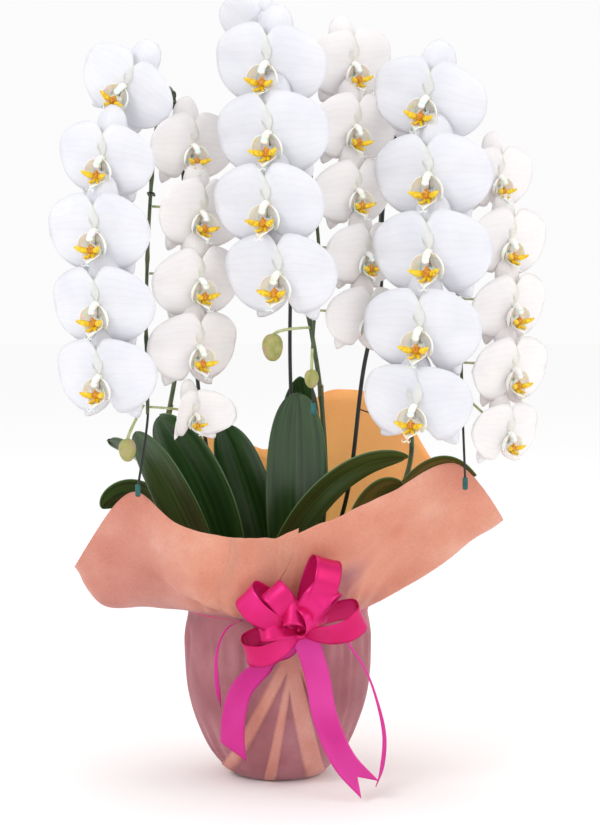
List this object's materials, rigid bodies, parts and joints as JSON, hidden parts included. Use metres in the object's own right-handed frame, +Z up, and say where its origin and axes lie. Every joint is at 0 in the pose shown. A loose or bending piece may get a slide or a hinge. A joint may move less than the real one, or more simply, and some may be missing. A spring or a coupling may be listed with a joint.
{
  "type": "potted orchid",
  "caption": "White moth orchids on arching staked spikes in one round pot, wrapped in flared non-woven paper with a pink ribbon bow.",
  "frame": {"origin": "centre of the flat base that the wrapped pot stands on", "axes": "+Z up, -Y towards the front where the bow is, +X to the viewer's right"},
  "size_m": [0.5009, 0.3275, 0.8312],
  "materials": {
    "petal": "satin white petal",
    "leaf": "waxy dark green",
    "stem": "matt green stem",
    "bud": "matt yellow green",
    "stake": "black plastic-coated wire",
    "moss": "dry sphagnum moss",
    "pot": "gloss white glaze",
    "wrap": "matt salmon non-woven sheet",
    "ribbon": "satin hot pink"
  },
  "bodies": {
    "root": {"pot": "pot", "moss": "moss", "wrap": "wrap", "spike_left": "stem", "stake_left": "stake", "blossom_left_l1": "petal", "blossom_left_l2": "petal", "blossom_left_l3": "petal", "blossom_left_l4": "petal", "blossom_left_l5": "petal", "blossom_left_r1": "petal", "blossom_left_r2": "petal", "blossom_left_r3": "petal", "blossom_left_r4": "petal", "blossom_left_r5": "petal", "spike_centre": "stem", "stake_centre": "stake", "blossom_centre_top": "petal", "blossom_centre_l1": "petal", "blossom_centre_l2": "petal", "blossom_centre_l3": "petal", "blossom_centre_l4": "petal", "blossom_centre_r1": "petal", "blossom_centre_r2": "petal", "blossom_centre_r3": "petal", "blossom_centre_r4": "petal", "blossom_centre_r5": "petal", "spike_right": "stem", "stake_right": "stake", "blossom_right_l1": "petal", "blossom_right_l2": "petal", "blossom_right_l3": "petal", "blossom_right_l4": "petal", "blossom_right_l5": "petal", "blossom_right_r1": "petal", "blossom_right_r2": "petal", "blossom_right_r3": "petal", "blossom_right_r4": "petal", "blossom_right_r5": "petal", "bud_left": "bud", "bud_centre_upper": "bud", "bud_centre_lower": "bud", "leaf_left_1": "leaf", "leaf_left_2": "leaf", "leaf_left_3": "leaf", "leaf_left_4": "leaf", "leaf_left_5": "leaf", "leaf_left_6": "leaf", "leaf_centre_1": "leaf", "leaf_centre_2": "leaf", "leaf_centre_3": "leaf", "leaf_centre_4": "leaf", "leaf_right_1": "leaf", "leaf_right_2": "leaf", "leaf_right_3": "leaf", "bow": "ribbon", "tail_left": "ribbon", "tail_right": "ribbon", "curl_left": "ribbon", "curl_right": "ribbon"}
  },
  "joints": []
}
